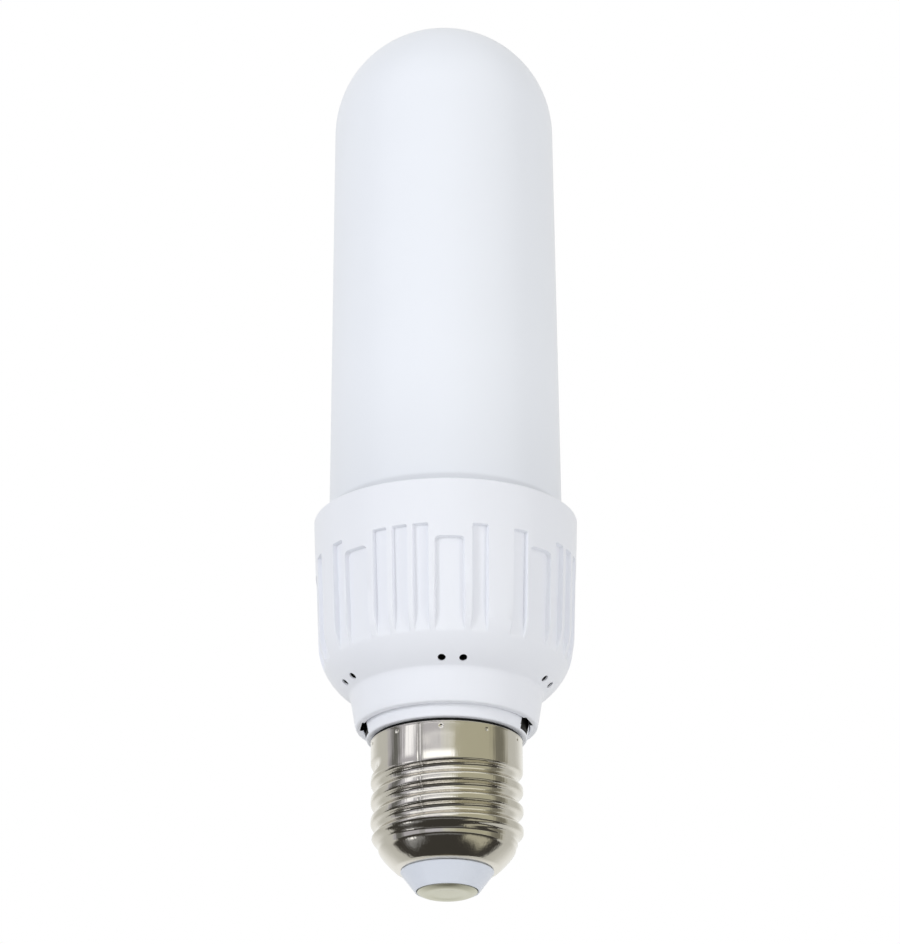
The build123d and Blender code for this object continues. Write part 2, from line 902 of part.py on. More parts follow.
def transformer_winding():
    low_z = transformer_foot_z + transformer_leg + fit_gap
    high_z = transformer_foot_z + transformer_height - transformer_leg - fit_gap
    edge = transformer_width / 2 - transformer_leg - fit_gap
    bobbin = behind_board(edge, 0.0, transformer_winding_depth, low_z, high_z)
    bobbin = fillet(bobbin.edges().filter_by(Axis.Z), winding_corner_radius)
    near = transformer_core_gap - fit_gap
    far = transformer_core_gap + transformer_core_depth + fit_gap
    return bobbin - behind_board(transformer_leg / 2 + fit_gap, near, far, low_z, high_z)


def bridge_rectifier():
    foot = board_shoulder_z + rectifier_above_shoulder
    return on_board(0.0, foot, rectifier_width, rectifier_height, rectifier_depth)


def driver_chip():
    foot = transformer_foot_z + chip_above_transformer_foot
    body = on_board(chip_x, foot, chip_width, chip_height, chip_depth)
    pin_span = chip_width + 2 * chip_pin_reach
    first = foot + chip_height / 2 - chip_pin_pitch * (chip_pin_count - 1) / 2
    for step in range(chip_pin_count):
        pin_foot = first + step * chip_pin_pitch - chip_pin_width / 2
        body += on_board(chip_x, pin_foot, pin_span, chip_pin_width, chip_pin_depth)
    return body


def fuse_resistor():
    foot = board_shoulder_z - fuse_below_shoulder
    place = (fuse_x, -board_face - component_gap - fuse_r)
    body = upright_cylinder(fuse_r, foot, foot + fuse_length, place)
    return chamfer(body.edges().filter_by(GeomType.CIRCLE), fuse_edge)


def live_lead():
    start_z = insulator_top_z + eyelet_above_insulator - live_solder_depth
    points = [
        (0, 0, start_z),
        (0, 0, insulator_top_z + eyelet_above_insulator + live_rise),
        (live_pad_x, wire_y, board_foot_z - live_bend_below_board),
        (live_pad_x, wire_y, board_foot_z + live_on_board),
    ]
    return wire_solid(points, live_bend_radius, lead_r)


def neutral_lead():
    end = polar(cap_r - cap_sheet - fit_gap / 2 - lead_r, neutral_azimuth)
    exit_z = ring_neck_foot_z - lead_r - fit_gap
    points = [
        (neutral_pad_x, wire_y, exit_z + neutral_on_board),
        (neutral_pad_x, wire_y, exit_z),
        (end.X, end.Y, exit_z),
    ]
    return wire_solid(points, neutral_bend_radius, lead_r)


def led_lead_place(side):
    return (side * (strip_face_r + led_lead_beside_strip), wire_y)


def led_lead(side):
    x, y = led_lead_place(side)
    end_x = side * (strip_face_r + fit_gap / 2)
    bend_z = strip_foot_z + led_lead_above_strip_foot
    points = [(x, y, board_top_z - led_lead_on_board), (x, y, bend_z), (end_x, y, bend_z)]
    return wire_solid(points, led_lead_bend_radius, lead_r)


pieces = {
    "end_contact": end_contact(),
    "cap_insulator": cap_insulator(),
    "screw_cap": screw_cap(),
    "joining_ring": joining_ring(),
    "housing": housing(),
    "diffuser": diffuser(),
    "led_plate": led_plate(),
    "led_column": led_column(),
    "strip_leds": strip_leds(),
    "top_led_board": top_board(),
    "top_leds": top_leds(),
    "plate_screws": plate_screws(),
    "column_screws": column_screws(),
    "top_board_screws": top_screws(),
    "driver_board": driver_board(),
    "input_capacitor": input_capacitor(),
    "output_capacitor": output_capacitor(),
    "film_capacitor": film_capacitor(),
    "filter_inductor": filter_inductor(),
    "transformer_core": transformer_core(),
    "transformer_winding": transformer_winding(),
    "bridge_rectifier": bridge_rectifier(),
    "driver_chip": driver_chip(),
    "fuse_resistor": fuse_resistor(),
    "live_lead": live_lead(),
    "neutral_lead": neutral_lead(),
    "led_lead_right": led_lead(1),
    "led_lead_left": led_lead(-1),
}
for number in range(column_sides):
    pieces[f"led_strip_{number + 1}"] = led_strip(number)

os.makedirs("parts", exist_ok=True)
for name, piece in pieces.items():
    export_step(piece, f"parts/{name}.step")
    print(name, len(piece.solids()), round(piece.volume, 1))
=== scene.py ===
import json
import math
import bpy
from mathutils import Matrix, Vector


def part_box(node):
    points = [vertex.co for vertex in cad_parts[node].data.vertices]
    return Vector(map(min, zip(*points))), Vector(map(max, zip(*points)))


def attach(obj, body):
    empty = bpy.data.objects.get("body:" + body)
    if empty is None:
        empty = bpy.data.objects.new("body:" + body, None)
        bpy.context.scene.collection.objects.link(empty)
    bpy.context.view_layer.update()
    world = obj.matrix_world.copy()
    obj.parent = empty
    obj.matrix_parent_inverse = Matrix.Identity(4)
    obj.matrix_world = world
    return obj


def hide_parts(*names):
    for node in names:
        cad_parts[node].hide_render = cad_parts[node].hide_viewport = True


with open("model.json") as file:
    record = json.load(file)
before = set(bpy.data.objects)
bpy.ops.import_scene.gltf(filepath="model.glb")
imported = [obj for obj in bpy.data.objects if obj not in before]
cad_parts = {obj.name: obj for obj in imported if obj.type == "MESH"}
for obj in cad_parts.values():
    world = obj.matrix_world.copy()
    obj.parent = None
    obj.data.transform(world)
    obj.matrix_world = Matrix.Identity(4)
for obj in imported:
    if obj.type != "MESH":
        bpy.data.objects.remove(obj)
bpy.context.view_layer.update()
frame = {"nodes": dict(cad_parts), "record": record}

nodes = frame["nodes"]
mm = 0.001
print("frame loaded,", len(nodes), "nodes")


# small helpers that every piece uses; sections are points (radius, height) in mm

weldDistance = 0.002 * mm


def deselectAll():
    if bpy.context.mode != "OBJECT":
        bpy.ops.object.mode_set(mode="OBJECT")
    bpy.ops.object.select_all(action="DESELECT")


def smoothStep(low, high, value):
    share = min(1.0, max(0.0, (value - low) / (high - low)))
    return share * share * (3 - 2 * share)


def softMin(a, b, blend):
    share = min(1.0, max(0.0, 0.5 + (b - a) / (2 * blend)))
    return b + (a - b) * share - blend * share * (1 - share)


def evenly(start, end, count):
    return [start + (end - start) * step / count for step in range(count + 1)]


def arcPoints(centreR, centreZ, radius, startDegrees, endDegrees, count):
    angles = [math.radians(a) for a in evenly(startDegrees, endDegrees, count)]
    return [(centreR + radius * math.cos(a), centreZ + radius * math.sin(a)) for a in angles]


# draws a half section from one vertex and spins it round the lamp's axis; sizes in mm
def spinSection(name, section, steps):
    deselectAll()
    bpy.ops.mesh.primitive_plane_add(size=mm)
    piece = bpy.context.object
    piece.name = piece.data.name = name
    bpy.ops.object.mode_set(mode="EDIT")
    bpy.ops.mesh.merge(type="CENTER")
    firstR, firstZ = section[0]
    bpy.ops.transform.translate(value=(firstR * mm, 0, firstZ * mm))
    for (lastR, lastZ), (nextR, nextZ) in zip(section, section[1:]):
        move = ((nextR - lastR) * mm, 0, (nextZ - lastZ) * mm)
        bpy.ops.mesh.extrude_vertices_move(TRANSFORM_OT_translate={"value": move})
    bpy.ops.mesh.select_all(action="SELECT")
    bpy.ops.mesh.spin(steps=steps, angle=2 * math.pi, center=(0, 0, 0), axis=(0, 0, 1))
    bpy.ops.mesh.select_all(action="SELECT")
    bpy.ops.mesh.remove_doubles(threshold=weldDistance)
    bpy.ops.mesh.normals_make_consistent(inside=False)
    bpy.ops.object.mode_set(mode="OBJECT")
    return piece


# moves every vertex that is off the axis to the radius and azimuth that the shape function
# gives, in mm and degrees
def shapeRound(piece, shape):
    onAxis = 0.001
    for vertex in piece.data.vertices:
        x, y, z = vertex.co / mm
        radius = math.hypot(x, y)
        if radius < onAxis:
            continue
        newRadius, newAzimuth = shape(radius, math.degrees(math.atan2(y, x)), z)
        angle = math.radians(newAzimuth)
        vertex.co.x = newRadius * math.cos(angle) * mm
        vertex.co.y = newRadius * math.sin(angle) * mm
    piece.data.update()


def cutWith(piece, cutters):
    deselectAll()
    for cutter in cutters:
        cutter.select_set(True)
    bpy.context.view_layer.objects.active = cutters[0]
    if len(cutters) > 1:
        bpy.ops.object.join()
    tool = bpy.context.view_layer.objects.active
    bpy.ops.object.transform_apply(location=True, rotation=True, scale=True)
    deselectAll()
    piece.select_set(True)
    bpy.context.view_layer.objects.active = piece
    cut = piece.modifiers.new("cut", "BOOLEAN")
    cut.operation = "DIFFERENCE"
    cut.solver = "EXACT"
    cut.object = tool
    bpy.ops.object.modifier_apply(modifier=cut.name)
    bpy.data.objects.remove(tool)


# gives the second material to the faces whose centre passes the test
def paintFaces(piece, test):
    for face in piece.data.polygons:
        face.material_index = 1 if test(face.center) else 0


def finishPiece(piece, material, replaced, smoothDegrees=40, second=None):
    deselectAll()
    piece.select_set(True)
    bpy.context.view_layer.objects.active = piece
    bpy.ops.object.shade_smooth_by_angle(angle=math.radians(smoothDegrees))
    indices = [face.material_index for face in piece.data.polygons]
    piece.data.materials.clear()
    piece.data.materials.append(material)
    if second:
        piece.data.materials.append(second)
        piece.data.polygons.foreach_set("material_index", indices)
    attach(piece, "root")
    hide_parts(*replaced)
    print("made", piece.name, len(piece.data.polygons), "faces")


# materials

def groupWith(name, inputs, outputs):
    group = bpy.data.node_groups.new(name, "ShaderNodeTree")
    for label, kind, value in inputs:
        socket = group.interface.new_socket(label, in_out="INPUT", socket_type=kind)
        socket.default_value = value
    for label, kind in outputs:
        group.interface.new_socket(label, in_out="OUTPUT", socket_type=kind)
    return group, group.nodes.new("NodeGroupInput"), group.nodes.new("NodeGroupOutput")


surfaceOutputs = [
    ("Colour", "NodeSocketColor"),
    ("Roughness", "NodeSocketFloat"),
    ("Normal", "NodeSocketVector"),
]


# moulded plastic: a faint cloudiness of colour and a fine skin to the surface
def makeMouldedGroup():
    group, ins, outs = groupWith(
        "mouldedSkin",
        [
            ("Colour", "NodeSocketColor", (0.8, 0.8, 0.8, 1)),
            ("Cloud", "NodeSocketFloat", 0.02),
            ("Cloud Scale", "NodeSocketFloat", 60),
            ("Roughness", "NodeSocketFloat", 0.4),
            ("Skin Scale", "NodeSocketFloat", 2500),
            ("Skin", "NodeSocketFloat", 0.03),
        ],
        surfaceOutputs,
    )
    add = group.nodes.new
    link = group.links.new
    place = add("ShaderNodeTexCoord")
    cloud = add("ShaderNodeTexNoise")
    cloud.inputs["Detail"].default_value = 3
    link(place.outputs["Object"], cloud.inputs["Vector"])
    link(ins.outputs["Cloud Scale"], cloud.inputs["Scale"])
    centred = add("ShaderNodeMath")
    centred.operation = "SUBTRACT"
    centred.inputs[1].default_value = 0.5
    link(cloud.outputs["Fac"], centred.inputs[0])
    shade = add("ShaderNodeMath")
    shade.operation = "MULTIPLY"
    link(centred.outputs[0], shade.inputs[0])
    link(ins.outputs["Cloud"], shade.inputs[1])
    value = add("ShaderNodeMath")
    value.operation = "ADD"
    value.inputs[1].default_value = 1
    link(shade.outputs[0], value.inputs[0])
    tint = add("ShaderNodeVectorMath")
    tint.operation = "SCALE"
    link(ins.outputs["Colour"], tint.inputs[0])
    link(value.outputs[0], tint.inputs["Scale"])
    link(tint.outputs[0], outs.inputs["Colour"])
    rough = add("ShaderNodeMath")
    rough.operation = "ADD"
    link(ins.outputs["Roughness"], rough.inputs[0])
    link(shade.outputs[0], rough.inputs[1])
    link(rough.outputs[0], outs.inputs["Roughness"])
    skin = add("ShaderNodeTexNoise")
    skin.inputs["Detail"].default_value = 2
    link(place.outputs["Object"], skin.inputs["Vector"])
    link(ins.outputs["Skin Scale"], skin.inputs["Scale"])
    bump = add("ShaderNodeBump")
    bump.inputs["Distance"].default_value = 0.05 * mm
    link(ins.outputs["Skin"], bump.inputs["Strength"])
    link(skin.outputs["Fac"], bump.inputs["Height"])
    link(bump.outputs["Normal"], outs.inputs["Normal"])
    return group


# rolled metal: drawing lines along Z, soft blotches of tarnish and a little hammering
def makeRolledGroup():
    group, ins, outs = groupWith(
        "rolledMetal",
        [
            ("Bright", "NodeSocketColor", (0.8, 0.8, 0.8, 1)),
            ("Tarnish", "NodeSocketColor", (0.5, 0.5, 0.4, 1)),
            ("Tarnish Amount", "NodeSocketFloat", 0.5),
            ("Roughness", "NodeSocketFloat", 0.2),
            ("Line Scale", "NodeSocketFloat", 2500),
            ("Lines", "NodeSocketFloat", 0.1),
            ("Dent Scale", "NodeSocketFloat", 250),
            ("Dents", "NodeSocketFloat", 0.1),
        ],
        surfaceOutputs,
    )
    add = group.nodes.new
    link = group.links.new
    place = add("ShaderNodeTexCoord")
    blotch = add("ShaderNodeTexNoise")
    blotch.inputs["Scale"].default_value = 130
    blotch.inputs["Detail"].default_value = 4
    link(place.outputs["Object"], blotch.inputs["Vector"])
    amount = add("ShaderNodeMath")
    amount.operation = "MULTIPLY"
    link(blotch.outputs["Fac"], amount.inputs[0])
    link(ins.outputs["Tarnish Amount"], amount.inputs[1])
    colour = add("ShaderNodeMix")
    colour.data_type = "RGBA"
    link(amount.outputs[0], colour.inputs["Factor"])
    link(ins.outputs["Bright"], colour.inputs["A"])
    link(ins.outputs["Tarnish"], colour.inputs["B"])
    link(colour.outputs["Result"], outs.inputs["Colour"])
    stretch = add("ShaderNodeMapping")
    stretch.inputs["Scale"].default_value = (1, 1, 0.03)
    link(place.outputs["Object"], stretch.inputs["Vector"])
    lines = add("ShaderNodeTexNoise")
    lines.inputs["Detail"].default_value = 3
    link(stretch.outputs["Vector"], lines.inputs["Vector"])
    link(ins.outputs["Line Scale"], lines.inputs["Scale"])
    lineShare = add("ShaderNodeMath")
    lineShare.operation = "MULTIPLY"
    lineShare.inputs[1].default_value = 0.08
    link(lines.outputs["Fac"], lineShare.inputs[0])
    rough = add("ShaderNodeMath")
    rough.operation = "ADD"
    link(ins.outputs["Roughness"], rough.inputs[0])
    link(lineShare.outputs[0], rough.inputs[1])
    link(rough.outputs[0], outs.inputs["Roughness"])
    dents = add("ShaderNodeTexNoise")
    dents.inputs["Detail"].default_value = 1
    link(place.outputs["Object"], dents.inputs["Vector"])
    link(ins.outputs["Dent Scale"], dents.inputs["Scale"])
    lineBump = add("ShaderNodeBump")
    lineBump.inputs["Distance"].default_value = 0.04 * mm
    link(ins.outputs["Lines"], lineBump.inputs["Strength"])
    link(lines.outputs["Fac"], lineBump.inputs["Height"])
    dentBump = add("ShaderNodeBump")
    dentBump.inputs["Distance"].default_value = 0.4 * mm
    link(ins.outputs["Dents"], dentBump.inputs["Strength"])
    link(dents.outputs["Fac"], dentBump.inputs["Height"])
    link(lineBump.outputs["Normal"], dentBump.inputs["Normal"])
    link(dentBump.outputs["Normal"], outs.inputs["Normal"])
    return group


mouldedSkin = makeMouldedGroup()
rolledMetal = makeRolledGroup()


def groupMaterial(name, group, values, shader):
    material = bpy.data.materials.new(name)
    material.use_nodes = True
    tree = material.node_tree
    principled = tree.nodes["Principled BSDF"]
    surface = tree.nodes.new("ShaderNodeGroup")
    surface.node_tree = group
    for label, value in values.items():
        surface.inputs[label].default_value = value
    for label, value in shader.items():
        principled.inputs[label].default_value = value
    tree.links.new(surface.outputs["Colour"], principled.inputs["Base Color"])
    tree.links.new(surface.outputs["Roughness"], principled.inputs["Roughness"])
    tree.links.new(surface.outputs["Normal"], principled.inputs["Normal"])
    return material


# colours are written as the picture shows them, 0 to 255
def shown(red, green, blue):
    def linear(value):
        share = value / 255
        return share / 12.92 if share < 0.04045 else ((share + 0.055) / 1.055) ** 2.4
    return (linear(red), linear(green), linear(blue), 1)


def moulded(name, colour, roughness=0.4, skin=0.03, cloud=0.02, shader=None):
    values = {"Colour": shown(*colour), "Roughness": roughness, "Skin": skin, "Cloud": cloud}
    return groupMaterial(name, mouldedSkin, values, shader or {})


def metal(name, bright, tarnish, roughness, amount=0.5, lines=0.1, dents=0.0):
    values = {
        "Bright": shown(*bright),
        "Tarnish": shown(*tarnish),
        "Tarnish Amount": amount,
        "Roughness": roughness,
        "Lines": lines,
        "Dents": dents,
    }
    return groupMaterial(name, rolledMetal, values, {"Metallic": 1.0})


# paints shade into a material: darkens its colour below the heights given, in mm, each time by a smooth
# step
def paintFootShade(material, shades):
    tree = material.node_tree
    principled = tree.nodes["Principled BSDF"]
    place = tree.nodes.new("ShaderNodeTexCoord")
    axes = tree.nodes.new("ShaderNodeSeparateXYZ")
    tree.links.new(place.outputs["Object"], axes.inputs[0])
    for shade in shades:
        climb = tree.nodes.new("ShaderNodeMapRange")
        climb.interpolation_type = "SMOOTHSTEP"
        climb.inputs["From Min"].default_value = shade["from"] * mm
        climb.inputs["From Max"].default_value = shade["to"] * mm
        climb.inputs["To Min"].default_value = shade["shade"]
        tree.links.new(axes.outputs["Z"], climb.inputs["Value"])
        tint = tree.nodes.new("ShaderNodeVectorMath")
        tint.operation = "SCALE"
        tree.links.new(principled.inputs["Base Color"].links[0].from_socket, tint.inputs[0])
        tree.links.new(climb.outputs["Result"], tint.inputs["Scale"])
        tree.links.new(tint.outputs[0], principled.inputs["Base Color"])


# painted shade: the milky tube's colour is a little darker at its foot, where no light comes through from
# behind, and a painted shadow makes it darker still in a thin line where it enters the housing
paintedFootShades = [
    {"from": 64, "to": 94, "shade": 0.93},
    {"from": 69.2, "to": 70.0, "shade": 0.86},
]
housingPlastic = moulded("housingPlastic", (242, 244, 250), roughness=0.36, skin=0.05)
diffuserPlastic = moulded("diffuserPlastic", (243, 246, 252), roughness=0.38, skin=0.02)
paintFootShade(diffuserPlastic, paintedFootShades)
insulatorPlastic = moulded("insulatorPlastic", (226, 231, 241), roughness=0.3, skin=0.04)
capNickel = metal("capNickel", (232, 229, 223), (208, 203, 190), 0.08,
                  amount=0.45, lines=0.5, dents=0.12)
contactNickel = metal("contactNickel", (222, 222, 208), (190, 188, 166), 0.3,
                      amount=0.6, lines=0.05, dents=0.15)
# painted shade: a near-black colour put on white plastic where it lies in shadow inside the lamp
paintedShadeBlack = moulded("paintedShadeBlack", (14, 14, 15), roughness=0.7)
print("materials of the shell made")


# diffuser: a domed tube with a snap rib at its foot

diffuserSizes = {
    "footRadius": 20.5,
    "domeRadius": 19.6,
    "domeCentre": 142.3,
    "wall": 1.3,
    "ribAboveFoot": 1.6,
    "ribWidth": 1.2,
    "ribHeight": 0.3,
    "wallSteps": 24,
    "domeSteps": 26,
    "steps": 192,
}


def makeDiffuser(sizes):
    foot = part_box("diffuser")[0].z / mm
    outerFoot = sizes["footRadius"]
    outerTop = sizes["domeRadius"]
    centre = sizes["domeCentre"]
    wall = sizes["wall"]
    ribFoot = foot + sizes["ribAboveFoot"]
    ribTop = ribFoot + sizes["ribWidth"]

    def wallRadius(z):
        return outerFoot + (outerTop - outerFoot) * (z - foot) / (centre - foot)

    section = [(outerFoot - wall, foot), (outerFoot, foot), (wallRadius(ribFoot), ribFoot)]
    section += [(outerFoot + sizes["ribHeight"], ribFoot)]
    section += [(outerFoot + sizes["ribHeight"], (ribFoot + ribTop) / 2)]
    section += [(wallRadius(z), z) for z in evenly(ribTop, centre, sizes["wallSteps"])]
    section += arcPoints(0, centre, outerTop, 0, 90, sizes["domeSteps"])[1:]
    inner = arcPoints(0, centre, outerTop - wall, 90, 0, sizes["domeSteps"])
    section += inner + [(outerFoot - wall, foot)]
    return spinSection("diffuserTube", section, sizes["steps"])


finishPiece(makeDiffuser(diffuserSizes), diffuserPlastic, ["diffuser"])


# housing: a spun shell whose recessed panels are pressed in column by column; the sizes are
# in mm and azimuths in degrees from +X, counter-clockwise seen from the dome

housingSizes = {
    "rimRadius": 15.8,
    "rimEdge": 0.45,
    "creaseRadius": 16.75,
    "creaseFillet": 0.35,
    "neckSpan": (0.15, 0.82),
    "bowlRadius": 12.0,
    "wallFootRadius": 22.4,
    "wallFootHeight": 45.6,
    "wallTopRadius": 23.1,
    "topEdge": 0.45,
    "wall": 2.4,
    "boreRadius": 20.65,
    "seatHeight": 61.0,
    "spigotBore": 14.45,
    "spigotTop": 34.5,
    "insideSkin": 0.5,
    "footChamfer": 0.15,
    "mouthChamfer": 0.2,
    "spigotLedge": 0.9,
    "outsideShare": 0.98,
    "slotSkin": 0.05,
    "footSkin": 0.1,
}
slotSizes = {
    "azimuths": (-16.0, -174.0),
    "width": 4.5,
    "height": 3.0,
    "aboveRingFoot": 1.0,
    "depthInRing": 0.6,
    "depthInRim": 0.45,
    "heightInRim": 1.95,
}
panelSizes = {
    "quarters": 4,
    "narrow": ((-74.7, 7.0), (-55.3, 7.0), (-30.0, 6.6), (-20.5, 6.6), (-11.0, 6.6)),
    "wide": ((-88.3, 12.6), (-43.5, 12.6)),
    "narrowTop": 59.6,
    "wideTop": 57.2,
    "wideCorner": 0.9,
    "narrowCorner": 0.3,
    "floorTopRadius": 22.04,
    "floorFootRadius": 21.2,
    "floorFootHeight": 41.0,
    "edgeOutside": 0.05,
    "edgeInside": 0.1,
    "columnStep": 2.4,
    "sideTurns": (-0.6, -0.2, -0.06, 0.06, 0.18, 0.32, 0.7),
    "cornerTurns": (1.0, 1.3, 1.6, 1.9, 2.2, 2.5, 3.1),
    "topRises": (-0.7, -0.3, -0.16, -0.08, 0.0, 0.08, 0.3),
}
ventSizes = {
    "pairs": 5,
    "radius": 0.7,
    "height": 36.8,
    "azimuths": (-92.5, -80.8),
    "sides": 28,
    "paleDepth": 0.3,
    "paintReach": 2.5,
}


def panelList(sizes):
    panels = []
    for quarter in range(sizes["quarters"]):
        turn = quarter * 360 / sizes["quarters"]
        for centre, width in sizes["narrow"]:
            panels.append((centre + turn, width, sizes["narrowTop"], sizes["narrowCorner"]))
        for centre, width in sizes["wide"]:
            panels.append((centre + turn, width, sizes["wideTop"], sizes["wideCorner"]))
    return panels


def turnBetween(azimuth, centre):
    return (azimuth - centre + 180) % 360 - 180


# columns crowd together at the sides of each panel, where the wall bends
def panelColumns(sizes):
    columns = set()
    for centre, width, top, corner in panelList(sizes):
        inward = list(sizes["sideTurns"])
        if corner > sizes["narrowCorner"]:
            inward += sizes["cornerTurns"]
        for turn in inward:
            columns.add(round((centre - width / 2 + turn) % 360, 2))
            columns.add(round((centre + width / 2 - turn) % 360, 2))
    crowded = list(columns)
    for step in range(int(360 / sizes["columnStep"])):
        azimuth = step * sizes["columnStep"]
        if all(abs(turnBetween(azimuth, other)) > sizes["columnStep"] / 2 for other in crowded):
            columns.add(azimuth)
    return sorted(columns)


def outsideBox(across, up, halfWidth, top, corner):
    x = abs(across) - halfWidth + corner
    z = up - top + corner
    return math.hypot(max(x, 0), max(z, 0)) + min(max(x, z), 0) - corner


# a block of the size given, turned to the azimuth, that cuts one of the side slots
def slotCutter(azimuth, radius, height, size):
    turn = math.radians(azimuth)
    place = Vector((radius * math.cos(turn), radius * math.sin(turn), height))
    deselectAll()
    bpy.ops.mesh.primitive_cube_add(size=mm, location=place * mm, rotation=(0, 0, turn))
    bpy.context.object.scale = size
    return bpy.context.object


def makeHousing(sizes, panels, vents):
    low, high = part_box("housing")
    foot, top = low.z / mm, high.z / mm
    wallFootR, wallFootZ = sizes["wallFootRadius"], sizes["wallFootHeight"]
    lean = math.atan2(sizes["wallTopRadius"] - wallFootR, top - wallFootZ)
    bowlR = wallFootR - sizes["bowlRadius"] * math.cos(lean)
    bowlZ = wallFootZ + sizes["bowlRadius"] * math.sin(lean)
    creaseTurn = -math.degrees(math.acos((sizes["creaseRadius"] - bowlR) / sizes["bowlRadius"]))
    creaseZ = bowlZ + sizes["bowlRadius"] * math.sin(math.radians(creaseTurn))
    rimEdge = sizes["rimEdge"]
    chamfer = sizes["footChamfer"]
    section = [(sizes["spigotBore"], foot + chamfer), (sizes["spigotBore"] + chamfer, foot)]
    section += arcPoints(sizes["rimRadius"] - rimEdge, foot + rimEdge, rimEdge, -90, -5, 6)
    neckLean = math.atan2(sizes["creaseRadius"] - sizes["rimRadius"], creaseZ - foot)
    for share in evenly(*sizes["neckSpan"], 6):
        z = foot + share * (creaseZ - foot)
        section.append((sizes["rimRadius"] + (z - foot) * math.tan(neckLean), z))
    bowlStart = creaseTurn + math.degrees(sizes["creaseFillet"] / sizes["bowlRadius"])
    before = section[-1]
    after = arcPoints(bowlR, bowlZ, sizes["bowlRadius"], bowlStart, bowlStart, 1)[0]
    crease = (sizes["creaseRadius"], creaseZ)
    for share in evenly(0, 1, 6)[1:-1]:
        keep, reach = (1 - share) ** 2, share ** 2
        bend = 2 * share * (1 - share)
        corners = zip(before, crease, after)
        section.append(tuple(keep * a + bend * b + reach * c for a, b, c in corners))
    section += arcPoints(bowlR, bowlZ, sizes["bowlRadius"], bowlStart, -math.degrees(lean), 34)
    topEdge = sizes["topEdge"]
    cornerFoot = panels["wideTop"] - panels["wideCorner"]
    heights = evenly(wallFootZ, cornerFoot, 7)[1:]
    heights += evenly(cornerFoot, panels["wideTop"] + panels["topRises"][1], 3)[1:-1]
    heights += [panels["wideTop"] + rise for rise in panels["topRises"][1:]]
    heights += [(panels["wideTop"] + panels["narrowTop"]) / 2]
    heights += [panels["narrowTop"] + rise for rise in panels["topRises"]]
    heights += evenly(panels["narrowTop"] + panels["topRises"][-1], top - topEdge, 4)[1:]
    section += [(wallFootR + (z - wallFootZ) * math.tan(lean), z) for z in heights]
    section += arcPoints(sizes["wallTopRadius"] - topEdge, top - topEdge, topEdge, 15, 90, 6)
    chamfer = sizes["mouthChamfer"]
    section += [(sizes["boreRadius"] + chamfer, top), (sizes["boreRadius"], top - chamfer)]
    innerR = bowlR + sizes["bowlRadius"] - sizes["wall"]
    section += [(sizes["boreRadius"], sizes["seatHeight"]), (innerR, sizes["seatHeight"])]
    innerBowl = sizes["bowlRadius"] - sizes["wall"]
    seatBore = sizes["spigotBore"] - sizes["spigotLedge"]
    endTurn = -math.degrees(math.acos((seatBore - bowlR) / innerBowl))
    section += arcPoints(bowlR, bowlZ, innerBowl, 0, endTurn, 8)
    section += [(seatBore, sizes["spigotTop"]), (sizes["spigotBore"], sizes["spigotTop"])]
    section += [section[0]]

    columns = panelColumns(panels)
    piece = spinSection("housingShell", section, len(columns))
    step = 360 / len(columns)
    recesses = panelList(panels)
    floorRise = panels["narrowTop"] - panels["floorFootHeight"]
    floorSlope = (panels["floorTopRadius"] - panels["floorFootRadius"]) / floorRise
    middleOfWall = (innerBowl + sizes["bowlRadius"]) / 2
    outerSkin = bowlR + sizes["outsideShare"] * middleOfWall

    # only the outer skin is pressed in, down to the panels' floor
    def pressPanels(radius, azimuth, z):
        azimuth = columns[round(azimuth / step) % len(columns)]
        floor = panels["floorFootRadius"] + (z - panels["floorFootHeight"]) * floorSlope
        if radius > max(outerSkin, floor) and z < panels["narrowTop"] + 1:
            for centre, width, panelTop, corner in recesses:
                turn = turnBetween(azimuth, centre)
                if abs(turn) > width / 2 + 2:
                    continue
                across = radius * math.sin(math.radians(turn))
                halfWidth = sizes["wallTopRadius"] * math.sin(math.radians(width / 2))
                outside = outsideBox(across, z, halfWidth, panelTop, corner)
                depth = 1 - smoothStep(-panels["edgeInside"], panels["edgeOutside"], outside)
                radius -= (radius - floor) * depth
        return radius, azimuth

    shapeRound(piece, pressPanels)

    cutters = []
    drop = vents["height"] - bowlZ
    across = math.sqrt(sizes["bowlRadius"] ** 2 - drop ** 2)
    tilt = math.atan2(across, drop)
    for pair in range(vents["pairs"]):
        for azimuth in vents["azimuths"]:
            turn = math.radians(azimuth + pair * 360 / vents["pairs"])
            around = Vector((math.cos(turn), math.sin(turn), 0))
            place = around * (bowlR + across) + Vector((0, 0, vents["height"]))
            outward = around * math.sin(tilt) + Vector((0, 0, math.cos(tilt)))
            deselectAll()
            bpy.ops.mesh.primitive_cylinder_add(
                vertices=vents["sides"], radius=vents["radius"] * mm, depth=3 * sizes["wall"] * mm,
                location=place * mm, rotation=(0, tilt, turn))
            bpy.ops.object.mode_set(mode="EDIT")
            bpy.ops.mesh.select_all(action="SELECT")
            bpy.ops.mesh.bisect(plane_co=(place - outward * vents["paleDepth"]) * mm, plane_no=outward)
            bpy.ops.object.mode_set(mode="OBJECT")
            cutters.append(bpy.context.object)
    slotWidth, slotRise = slotSizes["width"], slotSizes["heightInRim"]
    slotReach = sizes["spigotBore"] + slotSizes["depthInRim"]
    for azimuth in slotSizes["azimuths"]:
        middle = slotReach - slotWidth / 2
        height = foot + (slotRise - slotWidth) / 2
        cutters.append(slotCutter(azimuth, middle, height, (slotWidth, slotWidth, slotRise + slotWidth)))
    cutWith(piece, cutters)

